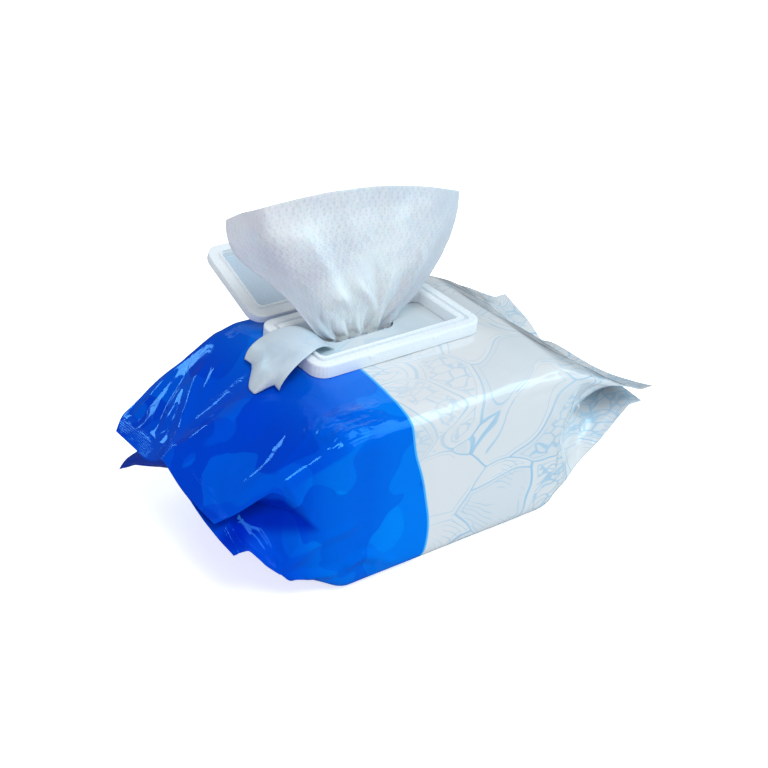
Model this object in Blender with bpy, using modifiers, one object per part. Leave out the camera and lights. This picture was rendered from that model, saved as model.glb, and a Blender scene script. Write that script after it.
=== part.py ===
"""A pack of wet wipes with its flip lid open, the label peeled back and one wipe pulled out.

X runs along the pack, with the blue end at -X. The front is at -Y and the lid's hinge at +Y.
The origin is at the middle of the underside, on the table. Lengths are in metres.
"""

from math import cos, exp, pi, radians, sin, sqrt

import bmesh
import bpy
from mathutils import Matrix, Vector
from mathutils.geometry import tessellate_polygon

MM = 0.001
FLAT_ENOUGH = 0.001 * MM  # a loop within this is filled by one face

# Block of folded wipes
STACK_LENGTH = 139 * MM
STACK_WIDTH = 116.4 * MM
STACK_HEIGHT = 84.3 * MM  # at its long edges
STACK_CROWN = 5 * MM  # how far its middle stands above the edges
STACK_CORNER = 6 * MM
STACK_FOLDS = 13  # bundles of folded edges seen along its sides
FOLD_RELIEF = 0.5 * MM

# Film wrapper, whose wall is modelled thicker than the real film
FILM = 1.0 * MM
PACK_CLEARANCE = 0.35 * MM  # between the film and the block
TOP_CROWN = 8.1 * MM  # the film's flat middle above its long front edge
END_FALL = 0.35  # the crown's fall towards the block's ends, as a share of it
BACK_FALL = 0.1  # the same towards the back edge
CROWN_POWER = 1.6  # the larger, the longer the film stays level beside the frame
EDGE_ROUND = 2.2 * MM  # fall of the film over its long edges
EDGE_POWER = 30  # the larger, the tighter the edge
SLOPE_WAVE = 1.6 * MM  # waves drawn into the film between the block and the seals
HEEL_RUN = 6.85 * MM  # length of the underside's rounding before each of its ends
HEEL_LIFT = 2 * MM
SIDE_BULGE = 1.2 * MM
FOLD_GAP = 0.3 * MM  # width of a gusset's inner fold
STEEP_WALL = 1.5  # how much deeper the wall measures upright in the slopes
FIN_THICKNESS = 1.2 * MM  # the plies welded together
FIN_WIDTH = 9 * MM
CRIMPS = 4
CRIMP_HEIGHT = 0.35 * MM
GUSSET_INNER = 24 * MM  # from the middle to the tucked fold, at the seals

# Blue end of the wrapper: the seal droops and has a raised pleat in its middle
LEFT_END = {
    "side": -1,
    "reach": 65 * MM,  # from the block to the fin's outer edge
    "tip_half": 46 * MM,
    "tip_height": 56 * MM,
    "mid_height": 56 * MM,
    "pleat": 9 * MM,
    "pleat_at": 1 * MM,
    "pleat_width": (16 * MM, 9 * MM),  # front and back of it
    "fin_droop": 5.5 * MM,  # fall of the fin's middle from its inner to its outer edge
    "fin_taper": 10 * MM,  # narrowing of the fin's back corner
    "low_half_front": 56 * MM,
    "low_half_back": 51 * MM,
    "low_front": 42 * MM,  # height of the lower ply's front tip
    "low_back": 28 * MM,
    "low_curl": 5 * MM,  # how far the lower ply's tips draw back from the seal
    "tuck_from": 18 * MM,  # where the side panel starts to tuck in
    "tuck_full": 38 * MM,  # where the tuck has opened to the whole height
}

# White end of the wrapper: wider at its tips, with a dent in the seal
RIGHT_END = {
    "side": 1,
    "reach": 70.4 * MM,
    "tip_half": 62 * MM,
    "tip_height": 59.5 * MM,
    "mid_height": 48.5 * MM,
    "pleat": -5.5 * MM,
    "pleat_at": 27 * MM,
    "pleat_width": (9 * MM, 9 * MM),
    "fin_droop": 0.5 * MM,
    "fin_taper": 0 * MM,
    "low_half_front": 57.5 * MM,
    "low_half_back": 57.5 * MM,
    "low_front": 49 * MM,
    "low_back": 47 * MM,
    "low_curl": 1.5 * MM,
    "tuck_from": 2 * MM,
    "tuck_full": 14 * MM,
}

# Opening cut in the film, and the wipes' way out
OPENING_LENGTH = 46 * MM
OPENING_WIDTH = 16 * MM
OPENING_X = -9 * MM
OPENING_Y = 19 * MM
OPENING_TEETH = 11
TOOTH_DEPTH = 0.8 * MM

# Shares at which the film's sections are sampled, from a panel's corner to the gusset or the middle
PLY_STEPS = (0, 0.25, 0.5, 0.75, 1)
TOP_EDGE_STEPS = (0.05, 0.14, 0.25, 0.5, 0.75, 1)
TOP_MIDDLE_STEPS = (0.75, 0.5, 0.28, 0.12)
LOW_EDGE_STEPS = (0.08, 0.25, 0.5, 0.75, 1)
LOW_MIDDLE_STEPS = (0.5,)

# Lid frame, a moulded ring glued on the film
FRAME_LENGTH = 107.5 * MM
FRAME_WIDTH = 54.3 * MM
FRAME_HEIGHT = 7.05 * MM
FRAME_CORNER = 8 * MM
FRAME_BORDER = 9.8 * MM  # from the outer edge to the window
FRAME_WALL = 1.3 * MM
FRAME_X = -4.9 * MM
FRAME_Y = 10.6 * MM
GLUE_GAP = 0.3 * MM
GROOVE_AT = 4.9 * MM  # the lid's bead snaps in here
GROOVE_WIDTH = 1.9 * MM
GROOVE_DEPTH = 2.4 * MM
GROOVE_DRAFT = 0.2 * MM
FRAME_ROUND = 0.9 * MM
CATCH_SPACING = 41.6 * MM
CATCH_SIZE = (3.2 * MM, 0.9 * MM, 1.5 * MM)

# Flip lid and its moulded hinge
LID_HEIGHT = 5.3 * MM
LID_WALL = 1.4 * MM
LID_RIM = 6.7 * MM  # flat rim around the lid's inner recess
LID_ROUND = 1.2 * MM
LID_SOFTENING = 0.4 * MM  # of its rim's edges
LID_DRAFT = 0.1 * MM
LID_GAP = 0.3 * MM  # between the closed lid and the frame
BEAD_WIDTH = 1.0 * MM
BEAD_HEIGHT = 1.6 * MM
OPEN_ANGLE = 160  # degrees from closed, as it stands here
HINGE_REACH = 1.2 * MM  # from the frame's back edge to the hinge axis
HINGE_WIDTH = 50 * MM
HINGE_ROUND = 0.4 * MM
HINGE_GAP = 0.3 * MM

# Wipe pulled half out: its sides are Bezier curves from the foot's corners, in millimetres from there
WIPE_THICKNESS = 0.8 * MM
WIPE_FOOT_Y = 16.2 * MM
WIPE_FOOT_HALF = 21 * MM
WIPE_LEFT = ((-42, -1, 12.5), (-40, 5, 44.5), (-86, 3, 45), (-79.2, 9.6, 74))
WIPE_RIGHT = ((34, -6.5, 23), (48.5, -10, 44), (46, -13.4, 75))
WIPE_HUMP = (-10, -17, 16.5)  # how far its top edge's middle stands from a straight line
WIPE_GATHERS = 5
WIPE_GATHER_DEPTH = 3.4 * MM
WIPE_GATHER_TOP = 0.12  # what is left of the gathers' depth at the top
WIPE_SEAT_GAP = 0.3 * MM

# Peeled label: its long edges are Bezier curves, in millimetres from where it is still stuck
LABEL_THICKNESS = 0.5 * MM
LABEL_START = -33 * MM
LABEL_FRONT = (
    (0, 5, 1.2),
    (-10, 4, 7.5),
    (-18, -3.5, 11),
    (-27.5, -10.5, 13),
    (-46, -16.5, 12),
    (-45, -11, -2.2),
)
LABEL_BACK = (
    (-0.5, 17, 1.2),
    (-6, 25, 9),
    (-18, 23.5, 12),
    (-27.5, 20, 12),
    (-39, 26.5, 7),
    (-43, 22.5, -2.2),
)
LABEL_LOBE = (-9, 0, -5.5)  # the tab at its free end
LABEL_TAB = (0.12, 0.28, 0.38, 0.83)  # the tab's rise and fall, as shares of the free end
LABEL_ARCH = 1.4 * MM


def clamp(value, low=0.0, high=1.0):
    return max(low, min(high, value))


def smooth(value):
    t = clamp(value)
    return t * t * (3 - 2 * t)


def mix(a, b, t):
    return a + (b - a) * t


def millimetres(point):
    return Vector(point) * MM


def bezier(points, t):
    """The point at t on the Bezier curve of any number of control points."""
    level = [Vector(p) for p in points]
    while len(level) > 1:
        level = [a.lerp(b, t) for a, b in zip(level, level[1:])]
    return level[0]


# Lengths that follow from the driving dimensions
BLOCK_HALF = STACK_LENGTH / 2 + PACK_CLEARANCE + FILM
SIDE_HALF = STACK_WIDTH / 2 + PACK_CLEARANCE + FILM
EDGE_HEIGHT = STACK_HEIGHT + 2 * (PACK_CLEARANCE + FILM)
FILM_TOP = EDGE_HEIGHT + TOP_CROWN
FRAME_TOP = FILM_TOP + GLUE_GAP + FRAME_HEIGHT
HINGE_Y = FRAME_Y + FRAME_WIDTH / 2 + HINGE_REACH
HINGE_Z = FRAME_TOP
STACK_TOP = FILM + PACK_CLEARANCE + STACK_HEIGHT + STACK_CROWN


def new_collection(name):
    collection = bpy.data.collections.new(name)
    bpy.context.scene.collection.children.link(collection)
    return collection


def material(name, colour, roughness, specular=0.5):
    made = bpy.data.materials.new(name)
    made.use_nodes = True
    shader = made.node_tree.nodes["Principled BSDF"]
    shader.inputs["Base Color"].default_value = (*colour, 1)
    shader.inputs["Roughness"].default_value = roughness
    shader.inputs["Specular IOR Level"].default_value = specular
    made.diffuse_color = (*colour, 1)
    return made


def place(name, build, collection, finish=None):
    """Turn a bmesh into an object of the given collection."""
    bmesh.ops.recalc_face_normals(build, faces=build.faces)
    mesh = bpy.data.meshes.new(name)
    build.to_mesh(mesh)
    build.free()
    item = bpy.data.objects.new(name, mesh)
    collection.objects.link(item)
    if finish:
        mesh.materials.append(finish)
        mesh.shade_smooth()
        mesh.set_sharp_from_angle(angle=radians(35))
    return item


def skin(build, rings, capped=True, ring_closed=True, round_trip=False):
    """Join rings of equally many points by faces, with caps or closed on themselves."""
    loops = [[build.verts.new(point) for point in ring] for ring in rings]
    pairs = list(zip(loops, loops[1:]))
    if round_trip:
        pairs.append((loops[-1], loops[0]))
    count = len(loops[0])
    for a, b in pairs:
        for i in range(count if ring_closed else count - 1):
            j = (i + 1) % count
            build.faces.new((a[i], a[j], b[j], b[i]))
    if capped and ring_closed and not round_trip:
        for loop in (loops[0], loops[-1]):
            close(build, loop)


def close(build, loop):
    """Fill a loop that lies across the pack or level, in triangles that keep to its outline."""
    points = [v.co for v in loop]
    spans = [max(p[axis] for p in points) - min(p[axis] for p in points) for axis in range(3)]
    drop = spans.index(min(spans))
    if spans[drop] < FLAT_ENOUGH:
        build.faces.new(loop)
        return
    flat = [Vector([c for axis, c in enumerate(p) if axis != drop]) for p in points]
    for triangle in tessellate_polygon([flat]):
        build.faces.new([loop[i] for i in triangle])


def cut(item, cutter):
    """Subtract the cutter, which stays in its own collection as a guide."""
    cutter.hide_render = True
    cutter.display_type = "WIRE"
    modifier = item.modifiers.new(cutter.name, "BOOLEAN")
    modifier.operation = "DIFFERENCE"
    modifier.object = cutter


def join(item, other):
    """Weld the other body to the item."""
    other.hide_render = True
    other.display_type = "WIRE"
    modifier = item.modifiers.new(other.name, "BOOLEAN")
    modifier.operation = "UNION"
    modifier.object = other


def box(name, size, centre, collection):
    build = bmesh.new()
    bmesh.ops.create_cube(build, size=1)
    bmesh.ops.scale(build, vec=size, verts=build.verts)
    bmesh.ops.translate(build, vec=centre, verts=build.verts)
    return place(name, build, collection)


def rounded_rectangle(length, width, corner, x, y, z, steps=6):
    """The points of a rectangle with round corners, level at height z."""
    radius = min(corner, length / 2, width / 2)
    points = []
    for turn, (sx, sy) in enumerate(((1, 1), (-1, 1), (-1, -1), (1, -1))):
        cx = x + sx * (length / 2 - radius)
        cy = y + sy * (width / 2 - radius)
        for step in range(steps + 1):
            angle = (turn + step / steps) * pi / 2
            points.append(Vector((cx + radius * cos(angle), cy + radius * sin(angle), z)))
    return points


# Film wrapper


def end_of(x):
    return RIGHT_END if x > 0 else LEFT_END


def along(x):
    """0 at the block's end and 1 where the fin of the seal starts."""
    run = end_of(x)["reach"] - FIN_WIDTH
    return clamp((abs(x) - BLOCK_HALF) / run)


def fin_share(x):
    """0 where the fin starts and 1 at its outer edge."""
    start = BLOCK_HALF + end_of(x)["reach"] - FIN_WIDTH
    return clamp((abs(x) - start) / FIN_WIDTH)


def top_half(x, y):
    end = end_of(x)
    taper = end["fin_taper"] if y > 0 else 0
    return mix(SIDE_HALF, end["tip_half"] + taper * (1 - fin_share(x)), along(x))


def low_edge(end, y):
    return end["low_half_back"] if y > 0 else end["low_half_front"]


def low_half(x, y):
    return mix(SIDE_HALF, low_edge(end_of(x), y), along(x))


def looseness(end, y):
    """0 where the plies are welded and 1 at the lower ply's loose tips."""
    return clamp((abs(y) - GUSSET_INNER) / (low_edge(end, y) - GUSSET_INNER))


def tuck(x):
    """How far the side panel is tucked in, from 0 to 1."""
    end = end_of(x)
    start = BLOCK_HALF + end["tuck_from"]
    stop = BLOCK_HALF + end["reach"] - FIN_WIDTH
    return clamp((abs(x) - start) / (stop - start))


def tuck_share(x):
    """The share of a side panel's half height, from the middle, that the tuck has opened."""
    end = end_of(x)
    if tuck(x) == 0:
        return 0.5
    start = BLOCK_HALF + end["tuck_from"]
    return clamp((abs(x) - start) / (end["tuck_full"] - end["tuck_from"]), 0.3, 0.92)


def seal_height(end, y, x):
    """The seal's upper face, seen along the pack."""
    share = (y / end["tip_half"]) ** 2
    height = mix(end["mid_height"], end["tip_height"], share)
    off_pleat = y - end["pleat_at"]
    height += end["pleat"] * exp(-abs(off_pleat / end["pleat_width"][off_pleat > 0]) ** 1.5)
    height += end["fin_droop"] * (1 - fin_share(x)) * (1 - 0.8 * share)
    crimp = CRIMP_HEIGHT / 2 * (1 - cos(2 * pi * CRIMPS * fin_share(x)))
    return height + crimp


def crown(x, y):
    """The film's rise over the block, which is level under the lid frame."""
    off_x = abs(x - FRAME_X) - FRAME_LENGTH / 2
    off_y = abs(y - FRAME_Y) - FRAME_WIDTH / 2
    room_x = BLOCK_HALF - FRAME_LENGTH / 2 + (FRAME_X if x < FRAME_X else -FRAME_X)
    room_y = SIDE_HALF - FRAME_WIDTH / 2 + (FRAME_Y if y < FRAME_Y else -FRAME_Y)
    fall = 1 if y < FRAME_Y else BACK_FALL
    level_x = 1 - END_FALL * smooth(off_x / room_x)
    level_y = 1 - fall * clamp(off_y / room_y) ** CROWN_POWER
    return TOP_CROWN * level_x * level_y


def edge_fall(share):
    return EDGE_ROUND * abs(share) ** EDGE_POWER


def heel(x):
    """The underside's lift where it rounds up into the slopes."""
    return HEEL_LIFT * clamp((abs(x) - BLOCK_HALF + HEEL_RUN) / HEEL_RUN) ** 2


def top_height(x, y):
    """Height of the film's top panel."""
    end = end_of(x)
    s = along(x)
    share = clamp(y / top_half(x, y), -1, 1)
    block = EDGE_HEIGHT + crown(clamp(x, -BLOCK_HALF, BLOCK_HALF), share * SIDE_HALF)
    seal = seal_height(end, share * end["tip_half"], x)
    wave = SLOPE_WAVE * sin(pi * s) * cos(9 * share + 2 * s) * (1 - share * share)
    return mix(block, seal, s**1.1) + wave - edge_fall(share) * (1 - s)


def low_seal_height(end, share, x):
    """The seal's lower face, whose loose corners hang away from the upper ones."""
    y = share * low_edge(end, share)
    edge = end["tip_half"] if y > 0 else -end["tip_half"]
    inner = clamp(y, -end["tip_half"], end["tip_half"])
    tip = end["low_front"] if y < 0 else end["low_back"]
    hang = seal_height(end, edge, x) - FIN_THICKNESS - tip
    return seal_height(end, inner, x) - FIN_THICKNESS - hang * looseness(end, y) ** 1.2


def low_height(x, y):
    """Height of the film's underside."""
    s = along(x)
    share = clamp(y / low_half(x, y), -1, 1)
    return mix(edge_fall(share) + heel(x), low_seal_height(end_of(x), share, x), s**1.05)


def wall_height(x, wall):
    """The wall measured upright, which grows where the film slopes towards a seal."""
    return wall * mix(1, STEEP_WALL, smooth(4 * along(x)))


def side_points(x, sign, wall):
    """One side's upper and lower ply, each from its panel's corner to the gusset's inner fold."""
    end = end_of(x)
    weld = seal_height(end, sign * GUSSET_INNER, x) - FIN_THICKNESS / 2
    middle = mix(EDGE_HEIGHT / 2, weld, along(x))
    inner = mix((top_half(x, sign) + low_half(x, sign)) / 2, GUSSET_INNER, tuck(x))
    panels = ((top_half(x, sign), top_height, 1), (low_half(x, sign), low_height, -1))
    plies = []
    for half, height, up in panels:
        depth = abs(height(x, sign * inner) - middle) - FOLD_GAP / 2
        rim = max((FIN_THICKNESS - FOLD_GAP) / 2, depth * (1 - tuck_share(x)))
        drop = abs(height(x, sign * half) - up * rim - middle)
        shift = wall * sqrt(1 + min((half - inner) / drop, 6) ** 2)
        first = clamp((3 * wall - rim) / max(depth - rim, 0.1 * MM), 0, 0.9) if wall else 0
        y = sign * (mix(half, inner, first) - shift)
        ply = [Vector((x, y, height(x, y) - up * wall_height(x, wall)))]
        for step in PLY_STEPS:
            pull = mix(first, 1, step)
            level = mix(rim, depth, pull)
            y = mix(half, inner, pull)
            z = height(x, sign * y) - up * level
            bulge = SIDE_BULGE * sin(pi / 2 * level / depth) * (1 - tuck(x)) * (1 - along(x))
            ply.append(Vector((x, sign * (y - shift + bulge), z)))
        plies.append(ply)
    return plies


def panel_points(x, front, back, steps, height, lift):
    """Points of the top or bottom panel from its front corner to its back one, both left out."""
    edge_steps, middle_steps = steps
    points = []
    for sign, corner in ((-1, front), (1, back)):
        bound = sign * mix(SIDE_HALF / 2, GUSSET_INNER, tuck(x))
        half = [mix(corner.y, bound, step) for step in edge_steps]
        half += [bound * step for step in middle_steps]
        points += half if sign < 0 else [0, *half[::-1]]
    return [Vector((x, y, height(x, y) + lift)) for y in points]


def wrapper_ring(x, wall=0.0):
    """The wrapper's section at x, or its hollow's, which lies a wall further in."""
    front_up, front_low = side_points(x, -1, wall)
    back_up, back_low = side_points(x, 1, wall)
    lift = wall_height(x, wall)
    top_steps = (TOP_EDGE_STEPS, TOP_MIDDLE_STEPS)
    low_steps = (LOW_EDGE_STEPS, LOW_MIDDLE_STEPS)
    top = panel_points(x, front_up[0], back_up[0], top_steps, top_height, -lift)
    low = panel_points(x, front_low[0], back_low[0], low_steps, low_height, lift)
    end = end_of(x)
    for point in front_low + low + back_low:
        point.x -= end["side"] * end["low_curl"] * looseness(end, point.y) ** 2 * along(x) ** 3
    return top + back_up + back_low[::-1] + low[::-1] + front_low + front_up[::-1]


def stations(limit):
    """Places along the pack where its section is drawn, closer in the slopes than over the block."""
    places = []
    for end in (LEFT_END, RIGHT_END):
        run = end["reach"] - FIN_WIDTH
        tuck_marks = (end["tuck_from"], end["tuck_from"] + 0.6 * MM, end["tuck_full"])
        steps = {0, 0.05, 0.15, 0.3, 0.45, 0.6, 0.75, 0.88, 1}
        steps.update(mark / run for mark in tuck_marks)
        reaches = [BLOCK_HALF + run * step for step in steps if step <= limit]
        if limit == 1:
            count = 2 * CRIMPS
            reaches += [BLOCK_HALF + run + FIN_WIDTH * (i + 1) / count for i in range(count)]
        places += [end["side"] * reach for reach in reaches]
    frame_ends = [FRAME_X + side * FRAME_LENGTH / 2 for side in (-1, 1)]
    places += [side * (BLOCK_HALF - HEEL_RUN * step) for side in (-1, 1) for step in (0.5, 1)]
    places += frame_ends + [0, *(sum(pair) / 2 for pair in zip(frame_ends, (-BLOCK_HALF, BLOCK_HALF)))]
    return sorted(set(round(x, 7) for x in places))


def film_pouch(parts, cutters):
    """The wrapper: a tube tucked and welded at its ends, with the opening cut in its top."""
    blue = material("blue_film", (0.01, 0.09, 0.62), 0.18)
    outer = bmesh.new()
    skin(outer, [wrapper_ring(x) for x in stations(1)])
    pouch = place("film_pouch", outer, parts, blue)
    hollow = bmesh.new()
    skin(hollow, [wrapper_ring(x, FILM) for x in stations(0.76)])
    cut(pouch, place("pouch_hollow", hollow, cutters))
    cut(pouch, opening_cutter(cutters))
    return pouch


def opening_outline(z):
    """The die-cut opening, long and round-ended, with a fine toothed front edge."""
    radius = OPENING_WIDTH / 2
    run = OPENING_LENGTH - OPENING_WIDTH
    points = []
    for side in (1, -1):
        for step in range(9):
            angle = pi * step / 8 - pi / 2
            x = OPENING_X + side * (run / 2 + radius * cos(angle))
            points.append(Vector((x, OPENING_Y + side * radius * sin(angle), z)))
    for tooth in range(1, OPENING_TEETH):
        x = OPENING_X - run / 2 + run * tooth / OPENING_TEETH
        bite = TOOTH_DEPTH if tooth % 2 else 0
        points.append(Vector((x, OPENING_Y - radius + bite, z)))
    return points


def opening_cutter(cutters):
    build = bmesh.new()
    skin(build, [opening_outline(z) for z in (STACK_TOP + PACK_CLEARANCE, FRAME_TOP)])
    return place("opening_cutter", build, cutters)


def wipe_stack(parts):
    """The block of folded wipes, whose folds show as soft ridges and whose top bulges."""
    build = bmesh.new()
    base = FILM + PACK_CLEARANCE
    rings = []
    top_ring = 2 * STACK_FOLDS
    for fold in range(top_ring + 1):
        inset = FOLD_RELIEF if fold % 2 == 0 else 0
        z = base + STACK_HEIGHT * fold / top_ring
        if fold in (0, top_ring):
            inset = 2 * EDGE_ROUND
        if fold == top_ring:
            z -= EDGE_ROUND
        size = (STACK_LENGTH - 2 * inset, STACK_WIDTH - 2 * inset)
        rings.append(rounded_rectangle(*size, STACK_CORNER, 0, 0, z, 3))
    for share in (0.82, 0.6, 0.36):
        z = base + STACK_HEIGHT - EDGE_ROUND + (STACK_CROWN + EDGE_ROUND) * (1 - share**2)
        size = (STACK_LENGTH * share, STACK_WIDTH * share)
        rings.append(rounded_rectangle(*size, STACK_CORNER, 0, 0, z, 3))
    skin(build, rings)
    return place("wipe_stack", build, parts, material("folded_wipes", (0.86, 0.89, 0.91), 0.9, 0.2))


# Lid frame and lid


def frame_profile():
    """The frame's moulded section: distance in from its outer edge, and height."""
    top = FRAME_HEIGHT
    web = top - GROOVE_DEPTH - FRAME_WALL
    return (
        (0, 0),
        (0, top - FRAME_ROUND),
        (0.25 * FRAME_ROUND, top - 0.25 * FRAME_ROUND),
        (FRAME_ROUND, top),
        (GROOVE_AT, top),
        (GROOVE_AT + GROOVE_DRAFT, top - GROOVE_DEPTH),
        (GROOVE_AT + GROOVE_WIDTH - GROOVE_DRAFT, top - GROOVE_DEPTH),
        (GROOVE_AT + GROOVE_WIDTH, top),
        (FRAME_BORDER - FRAME_ROUND, top),
        (FRAME_BORDER, top - FRAME_ROUND),
        (FRAME_BORDER, 0),
        (FRAME_BORDER - FRAME_WALL, 0),
        (FRAME_BORDER - FRAME_WALL, web),
        (FRAME_WALL, web),
        (FRAME_WALL, 0),
    )


def ring_around(inset, z, y=FRAME_Y, x=FRAME_X):
    """The frame's outline, moved in by the inset."""
    corner = max(FRAME_CORNER - inset, 3 * MM)
    return rounded_rectangle(FRAME_LENGTH - 2 * inset, FRAME_WIDTH - 2 * inset, corner, x, y, z)


def lid_frame(parts, cutters):
    """The frame: a moulded channel with a snap groove, two catches and half the hinge web."""
    base = FILM_TOP + GLUE_GAP
    build = bmesh.new()
    skin(build, [ring_around(inset, base + z) for inset, z in frame_profile()], round_trip=True)
    frame = place("lid_frame", build, parts, material("white_moulding", (0.84, 0.88, 0.93), 0.35))
    for side in (-1, 1):
        centre = (
            FRAME_X + side * CATCH_SPACING / 2,
            FRAME_Y - FRAME_WIDTH / 2,
            FRAME_TOP - 2 * MM,
        )
        join(frame, box(f"catch_{'left' if side < 0 else 'right'}", CATCH_SIZE, centre, cutters))
    reach = HINGE_REACH - HINGE_ROUND - HINGE_GAP
    web = (HINGE_WIDTH, reach + FRAME_WALL / 2, HINGE_ROUND)
    y = FRAME_Y + FRAME_WIDTH / 2 + reach / 2 - FRAME_WALL / 4
    join(frame, box("frame_web", web, (FRAME_X, y, HINGE_Z - 1.6 * HINGE_ROUND), cutters))
    return frame


def flip_lid(parts, cutters):
    """The lid, drawn closed about its hinge axis and then turned open."""
    centre = -HINGE_REACH - FRAME_WIDTH / 2
    under = LID_GAP / 2
    top = under + LID_HEIGHT
    bead_in = GROOVE_AT + (GROOVE_WIDTH + BEAD_WIDTH) / 2
    bead_out = bead_in - BEAD_WIDTH
    profile = (
        (LID_RIM + 2 * LID_SOFTENING, top - LID_WALL),
        (LID_RIM, top - LID_WALL - LID_SOFTENING),
        (LID_RIM - LID_DRAFT, under),
        (bead_in, under),
        (bead_in - LID_DRAFT, under - BEAD_HEIGHT),
        (bead_out + LID_DRAFT, under - BEAD_HEIGHT),
        (bead_out, under),
        (LID_SOFTENING, under),
        (0, under + LID_SOFTENING),
        (0, top - LID_ROUND),
        (0.3 * LID_ROUND, top - 0.3 * LID_ROUND),
        (LID_ROUND, top),
    )
    build = bmesh.new()
    skin(build, [ring_around(inset, z, centre, 0) for inset, z in profile])
    lid = place("flip_lid", build, parts, material("white_lid", (0.80, 0.86, 0.92), 0.35))
    web = bmesh.new()
    bmesh.ops.create_cone(
        web, cap_ends=True, segments=12, radius1=HINGE_ROUND, radius2=HINGE_ROUND, depth=HINGE_WIDTH
    )
    bmesh.ops.rotate(web, verts=web.verts, matrix=Matrix.Rotation(pi / 2, 3, "Y"))
    pin = place("hinge_bead", web, cutters)
    reach = HINGE_REACH + FRAME_WALL / 2
    thickness = 0.9 * HINGE_ROUND
    size = (HINGE_WIDTH, reach, thickness)
    plate = box("lid_web", size, (0, -reach / 2, under + thickness / 2), cutters)
    join(lid, pin)
    join(lid, plate)
    for item in (lid, pin, plate):
        item.location = (FRAME_X, HINGE_Y, HINGE_Z)
        item.rotation_euler.x = -radians(OPEN_ANGLE)
    return lid


# Wipe and label


def wipe_point(u, v):
    """A point of the pulled wipe: u across from its left edge, v up from the film's opening."""
    foot = Vector((OPENING_X, WIPE_FOOT_Y, FILM_TOP))
    half = Vector((WIPE_FOOT_HALF, 0, 0))
    rise = max(v, 0)
    left = bezier((-half, *map(millimetres, WIPE_LEFT)), rise)
    right = bezier((half, *map(millimetres, WIPE_RIGHT)), rise)
    hump = 4 * u * (1 - u) * rise**1.4
    point = foot + left.lerp(right, u) + millimetres(WIPE_HUMP) * hump
    sink = FILM_TOP - STACK_TOP - WIPE_SEAT_GAP
    point.z -= sink * max(-v, 0)
    depth = WIPE_GATHER_DEPTH * mix(1, WIPE_GATHER_TOP, smooth(1.6 * rise))
    gather = cos(2 * pi * WIPE_GATHERS * u + sin(5 * u))
    point.y += depth * gather * smooth(12 * min(u, 1 - u) + 0.5)
    return point


def sheet(name, points, thickness, parts, finish):
    """A thin sheet of the given thickness from a grid of points."""
    build = bmesh.new()
    skin(build, points, capped=False, ring_closed=False)
    mesh = bpy.data.meshes.new(name)
    build.to_mesh(mesh)
    build.free()
    mesh.materials.append(finish)
    mesh.shade_smooth()
    item = bpy.data.objects.new(name, mesh)
    parts.objects.link(item)
    solid = item.modifiers.new("thickness", "SOLIDIFY")
    solid.thickness = thickness
    solid.offset = 0
    return item


def pulled_wipe(parts):
    """The wipe, gathered where it leaves the film and fanned out above."""
    across = 44
    rows = (-1, -0.5, 0, 0.05, 0.12, 0.22, 0.34, 0.46, 0.58, 0.7, 0.82, 0.92, 1)
    points = [[wipe_point(i / across, v) for i in range(across + 1)] for v in rows]
    finish = material("wipe_cloth", (0.85, 0.89, 0.92), 0.95, 0.2)
    return sheet("pulled_wipe", points, WIPE_THICKNESS, parts, finish)


def label_point(out, across):
    """A point of the peeled label: out towards its free end, across from front to back."""
    start = Vector((LABEL_START, 0, FILM_TOP))
    point = start + millimetres(bezier(LABEL_FRONT, out).lerp(bezier(LABEL_BACK, out), across))
    rise_from, rise_to, fall_from, fall_to = LABEL_TAB
    tab = smooth((across - rise_from) / (rise_to - rise_from))
    tab *= 1 - smooth((across - fall_from) / (fall_to - fall_from))
    point += millimetres(LABEL_LOBE) * tab * out**4
    point.z += LABEL_ARCH * 4 * across * (1 - across) * smooth(3 * out)
    return point


def peel_label(parts):
    """The resealable label, peeled back over the frame's side."""
    outs = [i / 20 for i in range(21)]
    acrosses = [i / 12 for i in range(13)]
    points = [[label_point(out, across) for across in acrosses] for out in outs]
    finish = material("label_underside", (0.78, 0.84, 0.89), 0.5)
    return sheet("peel_label", points, LABEL_THICKNESS, parts, finish)


def main():
    for item in list(bpy.data.objects):
        bpy.data.objects.remove(item)
    parts = new_collection("wet_wipes_pack")
    cutters = new_collection("cutters")
    film_pouch(parts, cutters)
    wipe_stack(parts)
    lid_frame(parts, cutters)
    flip_lid(parts, cutters)
    pulled_wipe(parts)
    peel_label(parts)


main()
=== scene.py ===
"""The wet wipes pack as photographed: glossy film, moulded lid, peeled label and one wipe pulled out.

Lengths are in metres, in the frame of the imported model: X along the pack, hinge at +Y, Z up.
"""

from math import cos, exp, pi, radians, sin

import bmesh
import bpy
import numpy as np
from mathutils import Matrix, Vector, noise
from mathutils.geometry import tessellate_polygon


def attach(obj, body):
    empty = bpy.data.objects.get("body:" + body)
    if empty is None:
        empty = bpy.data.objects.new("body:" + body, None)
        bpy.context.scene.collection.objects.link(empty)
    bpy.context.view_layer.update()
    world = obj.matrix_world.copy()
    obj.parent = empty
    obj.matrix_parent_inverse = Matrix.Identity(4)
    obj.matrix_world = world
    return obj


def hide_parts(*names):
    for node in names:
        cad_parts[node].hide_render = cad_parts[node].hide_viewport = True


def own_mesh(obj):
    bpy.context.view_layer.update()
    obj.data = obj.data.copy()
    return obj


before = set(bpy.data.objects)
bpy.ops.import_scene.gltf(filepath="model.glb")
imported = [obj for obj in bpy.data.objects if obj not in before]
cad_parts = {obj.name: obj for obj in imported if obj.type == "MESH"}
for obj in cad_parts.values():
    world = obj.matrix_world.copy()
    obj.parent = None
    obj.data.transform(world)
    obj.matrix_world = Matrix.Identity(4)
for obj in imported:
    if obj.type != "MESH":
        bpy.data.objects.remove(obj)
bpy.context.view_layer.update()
MM = 0.001

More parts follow.
